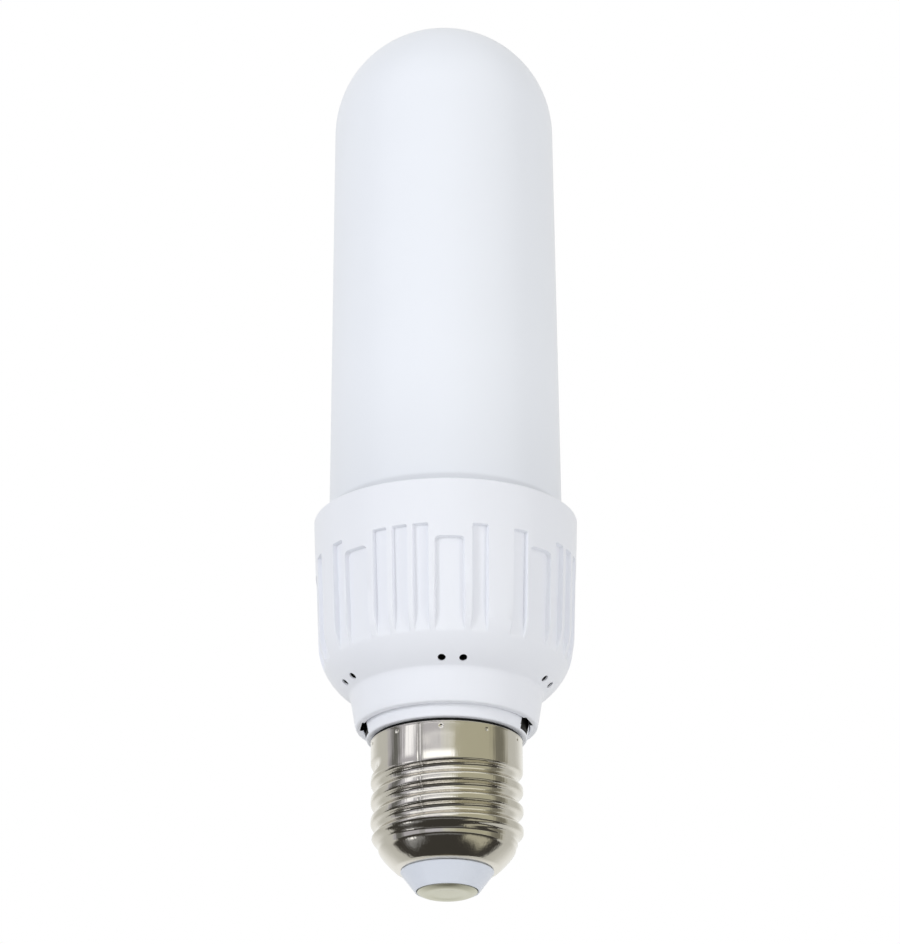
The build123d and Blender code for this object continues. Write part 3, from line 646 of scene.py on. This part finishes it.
    # painted shade: the bore, the slots and the depth of each vent get the near-black painted shade,
    # standing in for the shadow inside the white plastic
    def isInside(centre):
        radius, z = math.hypot(centre.x, centre.y) / mm, centre.z / mm
        if z > bowlZ:
            return radius < innerR + sizes["insideSkin"]
        if z < sizes["spigotTop"]:
            return radius < slotReach + sizes["slotSkin"] and z > foot + sizes["footSkin"]
        fromBowl = math.hypot(radius - bowlR, z - bowlZ)
        isNearVents = abs(z - vents["height"]) < vents["paintReach"] * vents["radius"]
        isDeepInVent = isNearVents and fromBowl < sizes["bowlRadius"] - vents["paleDepth"]
        return isDeepInVent or fromBowl < innerBowl + sizes["insideSkin"]

    paintFaces(piece, isInside)
    return piece


finishPiece(makeHousing(housingSizes, panelSizes, ventSizes), housingPlastic,
            ["housing"], smoothDegrees=35, second=paintedShadeBlack)


# ring between the cap and the housing, with its two side slots

ringSizes = {
    "aboveCap": 0.5,
    "slotReach": 2.0,
    "footRadius": 13.93,
    "rimRadius": 14.3,
    "rimHeight": 29.8,
    "neckRadius": 12.8,
    "boreRadius": 11.6,
    "edge": 0.3,
    "neckSkin": 0.01,
    "wallSkin": 0.04,
    "steps": 192,
}


def makeRing(sizes):
    low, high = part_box("joining_ring")
    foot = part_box("screw_cap")[1].z / mm + sizes["aboveCap"]
    neckFoot, top = low.z / mm, high.z / mm
    edge = sizes["edge"]
    section = [(sizes["boreRadius"], neckFoot), (sizes["neckRadius"], neckFoot)]
    section += [(radius, foot) for radius in evenly(sizes["neckRadius"], sizes["footRadius"] - edge, 4)]
    section += arcPoints(sizes["footRadius"] - edge, foot + edge, edge, -90, 0, 6)[1:]
    section += [(sizes["rimRadius"], sizes["rimHeight"]), (sizes["rimRadius"], top)]
    section += [(sizes["boreRadius"], top), (sizes["boreRadius"], neckFoot)]
    piece = spinSection("joiningRing", section, sizes["steps"])
    reach = sizes["slotReach"]
    middle = sizes["rimRadius"] - slotSizes["depthInRing"] + reach / 2
    height = foot + slotSizes["aboveRingFoot"] + slotSizes["height"] / 2
    size = (reach, slotSizes["width"], slotSizes["height"])
    cutWith(piece, [slotCutter(azimuth, middle, height, size) for azimuth in slotSizes["azimuths"]])
    flare = (sizes["rimRadius"] - sizes["footRadius"]) / (sizes["rimHeight"] - foot)

    # painted shade: the neck, the bore and the slots get the near-black painted shade, standing in for
    # the shadow in the gap above the cap
    def isHidden(centre):
        radius, z = math.hypot(centre.x, centre.y) / mm, centre.z / mm
        outside = min(sizes["rimRadius"], sizes["footRadius"] + flare * (z - foot))
        isNeck = z < foot - sizes["neckSkin"]
        return isNeck or (z > foot + edge and radius < outside - sizes["wallSkin"])

    paintFaces(piece, isHidden)
    return piece


finishPiece(makeRing(ringSizes), housingPlastic, ["joining_ring"], second=paintedShadeBlack)


# screw cap: rolled sheet, its thread pressed in by the same formula outside and inside

capSizes = {
    "radius": 13.2,
    "sheet": 0.3,
    "lipRadius": 8.1,
    "lipWidth": 0.9,
    "lipRise": 0.25,
    "mouthRadius": 7.6,
    "shoulderHeight": 6.1,
    "shoulderBulge": 0.45,
    "shoulderBlend": 0.2,
    "creaseHeight": 8.6,
    "creaseWidth": 0.7,
    "creaseDepth": 0.4,
    "skirtTopDraw": 0.06,
    "skirtTopHeight": 2.2,
    "skirtFootDraw": 0.14,
    "skirtFootHeight": 2.2,
    "pitch": 3.629,
    "rootRadius": 12.1,
    "landRise": 0.06,
    "threadBelowTop": 5.3,
    "threadEnd": 180.0,
    "fadeTurn": 40.0,
    "threadBlend": 0.12,
    "crimps": 10,
    "crimpAzimuth": -58.2,
    "crimpBelowTop": 1.0,
    "crimpRadius": 0.42,
    "crimpDepth": 0.15,
    "crimpFlat": 0.05,
    "crimpTurns": (-2.4, -1.8, -1.35, -0.9, -0.45, 0.0, 0.45, 0.9, 1.35, 1.8, 2.4),
    "crimpRows": 14,
    "seamAzimuth": -111.2,
    "seamWidth": 0.55,
    "seamEdges": (0.4, 0.6),
    "seamDepth": 0.035,
    "seamFoot": 10.6,
    "seamFade": 0.6,
    "topBand": 0.3,
    "topMargin": 0.01,
    "seamTurns": (-1.9, -1.55, -1.3, -1.05, -0.7, 0.7, 1.05, 1.3, 1.55, 1.9),
    "columnStep": 1.25,
    "rowHeight": 0.15,
}


def capColumns(sizes):
    crowded = set()
    for step in range(sizes["crimps"]):
        centre = sizes["crimpAzimuth"] + step * 360 / sizes["crimps"]
        crowded.update(round((centre + turn) % 360, 2) for turn in sizes["crimpTurns"])
    crowded.update(round((sizes["seamAzimuth"] + turn) % 360, 2) for turn in sizes["seamTurns"])
    columns = set(crowded)
    for step in range(int(360 / sizes["columnStep"])):
        azimuth = step * sizes["columnStep"]
        if all(abs(turnBetween(azimuth, other)) > sizes["columnStep"] / 2 for other in crowded):
            columns.add(azimuth)
    return sorted(columns)


def makeCap(sizes):
    low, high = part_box("screw_cap")
    foot, top = low.z / mm, high.z / mm
    startR, startZ = sizes["lipRadius"] + sizes["lipWidth"], foot + sizes["lipRise"]
    run, climb = sizes["radius"] - startR, sizes["shoulderHeight"] - sizes["lipRise"]
    chord = math.hypot(run, climb)
    bulge = sizes["shoulderBulge"]
    arcRadius = (chord ** 2 / 4 + bulge ** 2) / (2 * bulge)
    back = arcRadius - bulge
    arcR = startR + run / 2 - climb / chord * back
    arcZ = startZ + climb / 2 + run / chord * back

    def shoulderRadius(z):
        if z < startZ:
            return sizes["lipRadius"] + sizes["lipWidth"] * (z - foot) / sizes["lipRise"]
        drop = z - arcZ
        return arcR + math.sqrt(arcRadius ** 2 - drop ** 2) if z < arcZ else sizes["radius"]

    def plainRadius(z):
        beside = (z - sizes["creaseHeight"]) / sizes["creaseWidth"]
        radius = softMin(shoulderRadius(z), sizes["radius"], sizes["shoulderBlend"])
        radius -= sizes["creaseDepth"] * math.exp(-beside ** 2)
        intoTop = max(0, (z - top + sizes["skirtTopHeight"]) / sizes["skirtTopHeight"])
        skirtFoot = top - sizes["threadBelowTop"] - sizes["pitch"] / 2 + sizes["landRise"]
        intoFoot = max(0, 1 - (z - skirtFoot) / sizes["skirtFootHeight"])
        draw = sizes["skirtTopDraw"] * intoTop ** 2
        if z > skirtFoot:
            draw += sizes["skirtFootDraw"] * intoFoot ** 2
        return radius - draw

    halfPitch = sizes["pitch"] / 2
    height = sizes["radius"] + sizes["landRise"] - sizes["rootRadius"]
    wave = (halfPitch ** 2 + height ** 2) / (4 * height)

    def threadDepth(fromCrest):
        fromRoot = halfPitch - fromCrest
        if fromCrest < halfPitch / 2:
            return wave - math.sqrt(wave ** 2 - fromCrest ** 2)
        return height - wave + math.sqrt(wave ** 2 - fromRoot ** 2)

    endZ = top - sizes["threadBelowTop"]

    def rolledRadius(azimuth, z):
        climbed = (z - endZ) / sizes["pitch"] * 360 + sizes["threadEnd"]
        turns = round((climbed - azimuth) / 360)
        groove = azimuth + 360 * turns
        fromRoot = abs(climbed - groove) / 360 * sizes["pitch"]
        fade = 1 - smoothStep(0, sizes["fadeTurn"], groove - sizes["threadEnd"])
        pressed = sizes["radius"] + sizes["landRise"] - fade * threadDepth(halfPitch - fromRoot)
        radius = softMin(plainRadius(z), min(pressed, sizes["radius"]), sizes["threadBlend"])
        crimpZ = top - sizes["crimpBelowTop"]
        between = 360 / sizes["crimps"]
        turn = (azimuth - sizes["crimpAzimuth"] + between / 2) % between - between / 2
        apart = math.hypot(math.radians(turn) * sizes["radius"], z - crimpZ)
        radius -= sizes["crimpDepth"] * (1 - smoothStep(sizes["crimpFlat"], sizes["crimpRadius"], apart))
        beside = abs(math.radians(turnBetween(azimuth, sizes["seamAzimuth"])) * sizes["radius"])
        seamLow, seamHigh = (share * sizes["seamWidth"] for share in sizes["seamEdges"])
        seam = 1 - smoothStep(seamLow, seamHigh, beside)
        seamStart, seamFull = sizes["seamFoot"] - sizes["seamFade"], sizes["seamFoot"] + sizes["seamFade"]
        return radius - sizes["seamDepth"] * seam * smoothStep(seamStart, seamFull, z)

    sheet, topBand = sizes["sheet"], sizes["topBand"]
    crimpFoot = top - 2 * sizes["crimpBelowTop"] + topBand
    heights = evenly(foot, startZ, 3)
    heights += evenly(startZ, crimpFoot, round((crimpFoot - startZ) / sizes["rowHeight"]))[1:]
    heights += evenly(crimpFoot, top - topBand, sizes["crimpRows"])[1:]
    outer = [(plainRadius(z), z) for z in heights]
    rounded = arcPoints(sizes["radius"] - sheet / 2, top - sheet / 2, sheet / 2, 0, 180, 6)
    inner = [(plainRadius(z) - sheet, z) for z in reversed(heights[2:])]
    section = [(sizes["mouthRadius"], foot + sheet), (sizes["mouthRadius"], foot)]
    section += outer + rounded + inner[::3] + [(sizes["mouthRadius"], foot + sheet)]
    columns = capColumns(sizes)
    piece = spinSection("screwCapShell", section, len(columns))
    step = 360 / len(columns)

    # the mouth and the rounded top edge stay as they were spun
    def rollThread(radius, azimuth, z):
        azimuth = columns[round(azimuth / step) % len(columns)]
        offset = plainRadius(z) - radius
        isMouth = offset > 1.5 * sheet
        if isMouth or z > top - topBand + sizes["topMargin"]:
            return radius, azimuth
        return rolledRadius(azimuth, z) - offset, azimuth

    shapeRound(piece, rollThread)
    return piece


finishPiece(makeCap(capSizes), capNickel, ["screw_cap"], smoothDegrees=60)


# insulator cone and end contact

insulatorSizes = {
    "footRadius": 5.65,
    "footHeight": 0.6,
    "recessRadius": 5.3,
    "recessHeight": 1.1,
    "topRadius": 8.05,
    "topEdge": 0.25,
    "neckRadius": 7.5,
    "flangeRadius": 9.6,
    "boreRadius": 1.6,
    "recessChamfer": 0.08,
    "footChamfer": 0.1,
    "neckHeight": 0.4,
    "neckStep": 0.3,
    "steps": 160,
}
contactSizes = {
    "dishRadius": 2.7,
    "dishEdge": 0.35,
    "dishDepth": 0.1,
    "flatRadius": 4.0,
    "radius": 5.2,
    "edgeHeight": 0.5,
    "edgeCurve": 1.6,
    "backHeight": 1.1,
    "eyeletRadius": 1.5,
    "eyeletBore": 0.85,
    "steps": 128,
}


def makeInsulator(sizes):
    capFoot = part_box("screw_cap")[0].z / mm
    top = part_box("cap_insulator")[1].z / mm
    edge, bore, neck = sizes["topEdge"], sizes["boreRadius"], sizes["neckRadius"]
    foot, footR = sizes["footHeight"], sizes["footRadius"]
    recess, recessR = sizes["recessHeight"], sizes["recessRadius"]
    chamfer = sizes["recessChamfer"]
    section = [(bore, recess), (recessR, recess), (recessR, foot + chamfer), (recessR + chamfer, foot)]
    coneFoot = foot + sizes["footChamfer"]
    section += [(footR - sizes["footChamfer"], foot), (footR, coneFoot)]
    rise = capFoot - edge - coneFoot
    for share in evenly(0, 1, 10)[1:]:
        section.append((footR + share * (sizes["topRadius"] - footR), coneFoot + share * rise))
    section += arcPoints(sizes["topRadius"] - edge, capFoot - edge, edge, 10, 90, 5)
    neckTop = capFoot + sizes["neckHeight"]
    section += [(neck, capFoot), (neck, neckTop), (neck + sizes["neckStep"], neckTop)]
    section += [(sizes["flangeRadius"], top), (bore, top), (bore, recess)]
    return spinSection("insulatorCone", section, sizes["steps"])


def makeContact(sizes):
    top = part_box("end_contact")[1].z / mm
    run = sizes["radius"] - sizes["flatRadius"]
    section = [(radius, sizes["dishDepth"]) for radius in evenly(0, sizes["dishRadius"], 4)]
    section += [(sizes["dishRadius"] + sizes["dishEdge"], 0), (sizes["flatRadius"], 0)]
    for share in evenly(0, 1, 6)[1:]:
        rise = sizes["edgeHeight"] * share ** sizes["edgeCurve"]
        section.append((sizes["flatRadius"] + run * share, rise))
    section += [(sizes["radius"], sizes["backHeight"]), (sizes["eyeletRadius"], sizes["backHeight"])]
    section += [(sizes["eyeletRadius"], top), (sizes["eyeletBore"], top)]
    section += [(sizes["eyeletBore"], sizes["backHeight"]), (0, sizes["backHeight"])]
    return spinSection("contactButton", section, sizes["steps"])


finishPiece(makeInsulator(insulatorSizes), insulatorPlastic, ["cap_insulator"])
finishPiece(makeContact(contactSizes), contactNickel, ["end_contact"])


# the pieces inside keep their own shapes and get their finishes here

innerFinishes = {
    "millAluminium": metal("millAluminium", (205, 207, 210), (170, 172, 176), 0.32,
                           amount=0.4, lines=0.25),
    "boardWhite": moulded("boardWhite", (236, 236, 230), roughness=0.35),
    "boardGreen": moulded("boardGreen", (42, 104, 58), roughness=0.3, cloud=0.2),
    "phosphor": moulded("phosphor", (244, 214, 92), roughness=0.5, cloud=0.1),
    "zincSteel": metal("zincSteel", (190, 191, 194), (150, 151, 150), 0.28, amount=0.5),
    "canSleeve": moulded("canSleeve", (34, 36, 46), roughness=0.25, cloud=0.15),
    "filmCase": moulded("filmCase", (214, 164, 44), roughness=0.3, cloud=0.08),
    "ferrite": moulded("ferrite", (58, 58, 62), roughness=0.6, skin=0.3, cloud=0.3),
    "windingTape": moulded("windingTape", (222, 182, 62), roughness=0.3, cloud=0.12),
    "blackMoulding": moulded("blackMoulding", (28, 28, 30), roughness=0.5, skin=0.2, cloud=0.2),
    "resistorLacquer": moulded("resistorLacquer", (92, 132, 156), roughness=0.35, cloud=0.1),
    "wireRed": moulded("wireRed", (188, 34, 30), roughness=0.35, cloud=0.08),
    "wireBlack": moulded("wireBlack", (24, 24, 26), roughness=0.4, cloud=0.1),
}
finishOfSlot = {
    "aluminium": "millAluminium",
    "board_white": "boardWhite",
    "board_green": "boardGreen",
    "led": "phosphor",
    "screw_steel": "zincSteel",
    "can_sleeve": "canSleeve",
    "film_case": "filmCase",
    "ferrite": "ferrite",
    "winding": "windingTape",
    "black_moulding": "blackMoulding",
    "resistor_body": "resistorLacquer",
    "wire_red": "wireRed",
    "wire_black": "wireBlack",
}
for subpart in frame["record"]["subparts"]:
    finish = finishOfSlot.get(subpart["material_slot"])
    if finish:
        node = nodes[subpart["node"]]
        node.data.materials.clear()
        node.data.materials.append(innerFinishes[finish])
print("inner pieces finished")


# camera, where the photographer stood: below the lamp and looking up at it

photoHeight = 944
cameraSizes = {
    "distance": 900,
    "targetHeight": 77.4,
    "elevation": -20.7,
    "lens": 194.5,
    "lean": -0.27,
    "sideShift": 4.6 / photoHeight,
    "clip": (0.01, 50),
}
elevation = math.radians(cameraSizes["elevation"])
target = Vector((0, 0, cameraSizes["targetHeight"] * mm))
back = Vector((0, -math.cos(elevation), math.sin(elevation)))
deselectAll()
bpy.ops.object.camera_add(location=target + back * cameraSizes["distance"] * mm)
camera = bpy.context.object
facing = (-back).to_track_quat("-Z", "Y").to_matrix()
camera.rotation_euler = (facing @ Matrix.Rotation(math.radians(cameraSizes["lean"]), 3, "Z")).to_euler()
camera.data.lens = cameraSizes["lens"]
camera.data.shift_x = cameraSizes["sideShift"]
camera.data.clip_start, camera.data.clip_end = cameraSizes["clip"]
bpy.context.scene.camera = camera


# studio: pale floor far below, and a surround whose picture only the metal mirrors

studioSizes = {"floorHeight": -1.6, "floorSize": 80}
floorWhite = (0.95, 0.95, 0.95, 1)


# shows the second shader to the rays of one kind and the first one to all others
def mixForRay(tree, kind, others, chosen):
    path = tree.nodes.new("ShaderNodeLightPath")
    mix = tree.nodes.new("ShaderNodeMixShader")
    tree.links.new(path.outputs[kind], mix.inputs[0])
    tree.links.new(others.outputs[0], mix.inputs[1])
    tree.links.new(chosen.outputs[0], mix.inputs[2])
    return mix


def makeFloor(sizes):
    place = (0, 0, sizes["floorHeight"])
    bpy.ops.mesh.primitive_plane_add(size=sizes["floorSize"], location=place)
    floor = bpy.context.object
    floor.name = "studioFloor"
    paint = moulded("floorPaint", (246, 246, 246), roughness=0.7, skin=0.0, cloud=0.0)
    paintTree = paint.node_tree
    look = paintTree.nodes.new("ShaderNodeEmission")
    look.inputs["Color"].default_value = floorWhite
    mix = mixForRay(paintTree, "Is Camera Ray", paintTree.nodes["Principled BSDF"], look)
    paintTree.links.new(mix.outputs[0], paintTree.nodes["Material Output"].inputs["Surface"])
    floor.data.materials.append(paint)
    floor.visible_glossy = False
    return floor


makeFloor(studioSizes)

# the surround is one colour with bands laid over it, each over the ones before: azimuth from
# the front, + to the right, and elevation, in degrees
mirrorBase = (0.60, 0.595, 0.555)
mirrorBands = [
    {"turn": (-200, -140), "rise": (-38, 100), "soft": 34, "colour": (0.95, 0.95, 0.93)},
    {"turn": (140, 200), "rise": (-38, 100), "soft": 34, "colour": (0.92, 0.92, 0.89)},
    {"turn": (-100, -8), "rise": (-14, 60), "soft": 8, "colour": (0.50, 0.49, 0.53)},
    {"turn": (6, 100), "rise": (-14, 60), "soft": 26, "colour": (0.48, 0.46, 0.34)},
    {"turn": (22, 96), "rise": (38, 72), "soft": 16, "colour": (0.95, 0.93, 0.80)},
    {"turn": (-93, -76), "rise": (-14, 60), "soft": 10, "colour": (0.14, 0.14, 0.13)},
    {"turn": (76, 100), "rise": (-14, 60), "soft": 14, "colour": (0.20, 0.19, 0.15)},
    {"turn": (-66, -51), "rise": (12, 60), "soft": 6, "colour": (1.2, 1.2, 1.25)},
    {"turn": (-45, -37), "rise": (-14, 60), "soft": 5, "colour": (0.36, 0.36, 0.36)},
    {"turn": (-36, 12), "rise": (5, 16), "soft": 5, "colour": (1.5, 1.5, 1.5)},
    {"turn": (-74, 22), "rise": (26, 66), "soft": 12, "colour": (1.1, 1.1, 1.1)},
    {"turn": (-200, 200), "rise": (-100, -68), "soft": 6, "colour": (0.13, 0.12, 0.09)},
    {"turn": (-114, 114), "rise": (-84, -24), "soft": 5, "colour": (0.05, 0.046, 0.04)},
    {"turn": (-95, 95), "rise": (-30, -13), "soft": 5, "colour": (0.05, 0.046, 0.04)},
    {"turn": (-90, -48), "rise": (-52, -38), "soft": 12, "colour": (0.26, 0.26, 0.26)},
    {"turn": (-78, -66), "rise": (-42, -34), "soft": 4, "colour": (1.5, 1.5, 1.5)},
    {"turn": (-40, 30), "rise": (-43, -34), "soft": 8, "colour": (0.20, 0.20, 0.20)},
    {"turn": (36, 90), "rise": (-54, -33), "soft": 14, "colour": (0.48, 0.46, 0.36)},
]

world = bpy.data.worlds.new("studioWorld")
bpy.context.scene.world = world
world.use_nodes = True
tree = world.node_tree
tree.nodes.clear()


def addMath(operation, *values):
    node = tree.nodes.new("ShaderNodeMath")
    node.operation = operation
    for socket, value in zip(node.inputs, values):
        if isinstance(value, (int, float)):
            socket.default_value = value
        else:
            tree.links.new(value, socket)
    return node.outputs[0]


def addStep(value, edge, soft, rising):
    node = tree.nodes.new("ShaderNodeMapRange")
    node.interpolation_type = "SMOOTHSTEP"
    tree.links.new(value, node.inputs["Value"])
    half = math.radians(soft) / 2
    node.inputs["From Min"].default_value = math.radians(edge) - half
    node.inputs["From Max"].default_value = math.radians(edge) + half
    node.inputs["To Min"].default_value = 0.0 if rising else 1.0
    node.inputs["To Max"].default_value = 1.0 if rising else 0.0
    return node.outputs["Result"]


# one where the value lies in the band's range, fading to nothing at its two ends
def addRange(value, ends, soft):
    return addMath("MULTIPLY", addStep(value, ends[0], soft, True), addStep(value, ends[1], soft, False))


def mirrorPicture(base, bands, turn, rise):
    first = tree.nodes.new("ShaderNodeRGB")
    first.outputs[0].default_value = (*base, 1)
    picture = first.outputs[0]
    for band in bands:
        layer = tree.nodes.new("ShaderNodeMix")
        layer.data_type = "RGBA"
        layer.clamp_result = False
        across = addRange(turn, band["turn"], band["soft"])
        upward = addRange(rise, band["rise"], band["soft"])
        tree.links.new(addMath("MULTIPLY", across, upward), layer.inputs["Factor"])
        tree.links.new(picture, layer.inputs["A"])
        layer.inputs["B"].default_value = (*band["colour"], 1)
        picture = layer.outputs["Result"]
    return picture


def addBackground(colour):
    background = tree.nodes.new("ShaderNodeBackground")
    background.inputs["Color"].default_value = colour
    return background


direction = tree.nodes.new("ShaderNodeTexCoord")
axes = tree.nodes.new("ShaderNodeSeparateXYZ")
tree.links.new(direction.outputs["Generated"], axes.inputs[0])
backward, upright = axes.outputs["Y"], axes.outputs["Z"]
bandTurn = addMath("ARCTAN2", axes.outputs["X"], addMath("MULTIPLY", backward, -1.0))
bandRise = addMath("ARCSINE", upright)
mirrored = addBackground((1, 1, 1, 1))
tree.links.new(mirrorPicture(mirrorBase, mirrorBands, bandTurn, bandRise), mirrored.inputs["Color"])

# light for the plastics: strongest at the level of the lamp and from the front
levels = {"base": 0.83, "poles": -0.27, "up": -0.10, "front": -0.12}
strength = addMath("MULTIPLY_ADD", addMath("MULTIPLY", upright, upright), levels["poles"], levels["base"])
strength = addMath("MULTIPLY_ADD", upright, levels["up"], strength)
strength = addMath("MULTIPLY_ADD", backward, levels["front"], strength)
ambient = addBackground((0.985, 0.99, 1, 1))
tree.links.new(strength, ambient.inputs["Strength"])

# the camera sees plain white
litOrMirrored = mixForRay(tree, "Is Glossy Ray", ambient, mirrored)
surround = mixForRay(tree, "Is Camera Ray", litOrMirrored, addBackground((1, 1, 1, 1)))
worldOutput = tree.nodes.new("ShaderNodeOutputWorld")
tree.links.new(surround.outputs[0], worldOutput.inputs["Surface"])

# lamps: azimuth from the front, + to the right, in degrees, and distance and size in metres
lampList = {
    "keyLamp": {"azimuth": -45, "elevation": 12, "distance": 4.0, "size": 0.7, "power": 36,
                "colour": (0.94, 0.965, 1.0)},
    "fillLamp": {"azimuth": 50, "elevation": -15, "distance": 4.0, "size": 1.2, "power": 21,
                 "colour": (1.0, 0.99, 0.95)},
}


def addLamp(name, lamp):
    around, rise = math.radians(lamp["azimuth"]), math.radians(lamp["elevation"])
    level = math.cos(rise)
    toward = Vector((math.sin(around) * level, -math.cos(around) * level, math.sin(rise)))
    place = target + toward * lamp["distance"]
    deselectAll()
    bpy.ops.object.light_add(type="AREA", location=place)
    light = bpy.context.object
    light.name = name
    light.data.shape = "SQUARE"
    light.data.size = lamp["size"]
    light.data.energy = lamp["power"]
    light.data.color = lamp["colour"]
    light.visible_glossy = False
    light.rotation_euler = (target - place).to_track_quat("-Z", "Y").to_euler()


for name, lamp in lampList.items():
    addLamp(name, lamp)
print("studio ready")

bpy.context.scene.view_settings.view_transform = "Standard"
